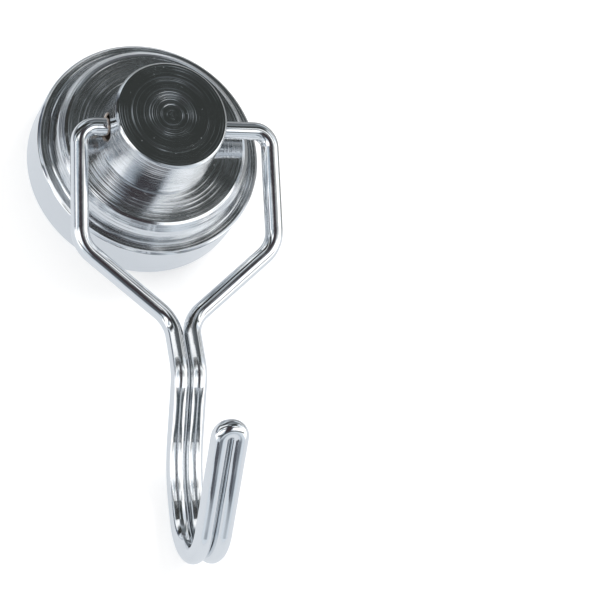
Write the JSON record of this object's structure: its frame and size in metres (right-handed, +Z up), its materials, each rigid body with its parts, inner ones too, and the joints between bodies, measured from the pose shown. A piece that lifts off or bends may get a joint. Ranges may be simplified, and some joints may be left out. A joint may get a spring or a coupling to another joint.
{
  "type": "magnetic swivel hook",
  "caption": "Chromed pot magnet with a spinning knob that carries a hinged hook bent from one wire, for hanging things from a steel surface.",
  "frame": {"origin": "Centre of the magnet's back face, which sits on the steel surface that holds the hook.", "axes": "+Y points into that surface, so the knob's axis points along -Y; +Z is up, with the wire hanging down along -Z; +X completes the right-handed set, along the wire's hinge axis."},
  "size_m": [0.0372, 0.0274, 0.0851],
  "materials": {
    "pot_chrome": "turned steel, bright chrome plate with fine turning rings",
    "knob_chrome": "turned steel, bright chrome plate with facing rings on its end",
    "wire_chrome": "drawn steel wire, bright chrome plate",
    "magnet_nickel": "satin nickel plate",
    "potting_resin": "cured black resin",
    "washer_steel": "stamped zinc-plated steel"
  },
  "bodies": {
    "base": {"pot": "pot_chrome", "magnet": "magnet_nickel", "potting_ring": "potting_resin", "thrust_washer": "washer_steel"},
    "swivel": {"swivel_knob": "knob_chrome", "retaining_washer": "washer_steel"},
    "hook": {"wire_hook": "wire_chrome"}
  },
  "joints": [
    {"name": "knob_swivel", "type": "hinge", "parent": "base", "child": "swivel", "pos_m": [0, 0, 0], "axis": [0, -1, 0], "continuous": true},
    {"name": "hook_swing", "type": "hinge", "parent": "swivel", "child": "hook", "pos_m": [0.00205, -0.0157, 0], "axis": [-1, 0, 0], "range_deg": [0, 184]}
  ]
}
